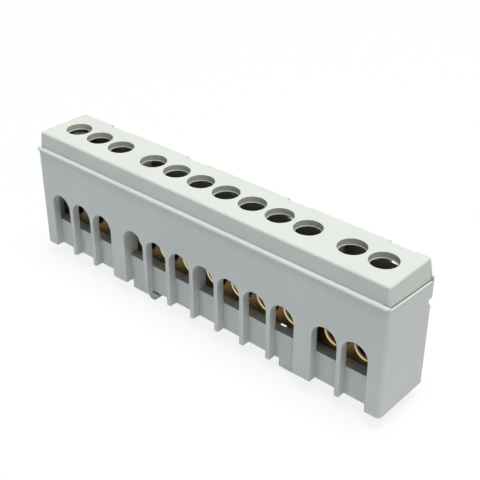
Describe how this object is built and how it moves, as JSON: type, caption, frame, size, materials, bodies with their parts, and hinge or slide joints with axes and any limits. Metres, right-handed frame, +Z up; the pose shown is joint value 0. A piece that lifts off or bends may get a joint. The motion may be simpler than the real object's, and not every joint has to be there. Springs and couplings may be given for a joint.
{
  "type": "phase terminal block",
  "caption": "Phase terminal block: a brass bar with clamping screws in a light grey moulded housing with arched wire windows and a drilled cover, on feet that clip across a rail",
  "frame": {"origin": "middle of the block's length and depth, at the underside of the rail hooks", "axes": "+X along the row of terminals with the group of three on the left, -Y out of the wire windows, +Z up"},
  "size_m": [0.0896, 0.0142, 0.0297],
  "materials": {
    "housing_plastic": "fine satin moulding",
    "cover_plastic": "fine satin moulding",
    "bar_brass": "drawn, slightly dulled",
    "screw_steel": "zinc plated"
  },
  "bodies": {
    "housing": {"housing_body": "housing_plastic", "top_cover": "cover_plastic", "busbar": "bar_brass"},
    "screw_01": {"terminal_screw_01": "screw_steel"},
    "screw_02": {"terminal_screw_02": "screw_steel"},
    "screw_03": {"terminal_screw_03": "screw_steel"},
    "screw_04": {"terminal_screw_04": "screw_steel"},
    "screw_05": {"terminal_screw_05": "screw_steel"},
    "screw_06": {"terminal_screw_06": "screw_steel"},
    "screw_07": {"terminal_screw_07": "screw_steel"},
    "screw_08": {"terminal_screw_08": "screw_steel"},
    "screw_09": {"terminal_screw_09": "screw_steel"},
    "screw_10": {"terminal_screw_10": "screw_steel"},
    "screw_11": {"terminal_screw_11": "screw_steel"},
    "screw_12": {"terminal_screw_12": "screw_steel"}
  },
  "joints": [
    {"name": "screw_01_travel", "type": "slide", "parent": "housing", "child": "screw_01", "axis": [0, 0, -1], "range_m": [0, 0.0058]},
    {"name": "screw_02_travel", "type": "slide", "parent": "housing", "child": "screw_02", "axis": [0, 0, -1], "range_m": [-0.0018, 0.004]},
    {"name": "screw_03_travel", "type": "slide", "parent": "housing", "child": "screw_03", "axis": [0, 0, -1], "range_m": [-0.0018, 0.004]},
    {"name": "screw_04_travel", "type": "slide", "parent": "housing", "child": "screw_04", "axis": [0, 0, -1], "range_m": [-0.0018, 0.004]},
    {"name": "screw_05_travel", "type": "slide", "parent": "housing", "child": "screw_05", "axis": [0, 0, -1], "range_m": [-0.0018, 0.004]},
    {"name": "screw_06_travel", "type": "slide", "parent": "housing", "child": "screw_06", "axis": [0, 0, -1], "range_m": [-0.0018, 0.004]},
    {"name": "screw_07_travel", "type": "slide", "parent": "housing", "child": "screw_07", "axis": [0, 0, -1], "range_m": [-0.0018, 0.004]},
    {"name": "screw_08_travel", "type": "slide", "parent": "housing", "child": "screw_08", "axis": [0, 0, -1], "range_m": [-0.0018, 0.004]},
    {"name": "screw_09_travel", "type": "slide", "parent": "housing", "child": "screw_09", "axis": [0, 0, -1], "range_m": [-0.0018, 0.004]},
    {"name": "screw_10_travel", "type": "slide", "parent": "housing", "child": "screw_10", "axis": [0, 0, -1], "range_m": [-0.0018, 0.004]},
    {"name": "screw_11_travel", "type": "slide", "parent": "housing", "child": "screw_11", "axis": [0, 0, -1], "range_m": [-0.0018, 0.004]},
    {"name": "screw_12_travel", "type": "slide", "parent": "housing", "child": "screw_12", "axis": [0, 0, -1], "range_m": [-0.0018, 0.004]}
  ]
}
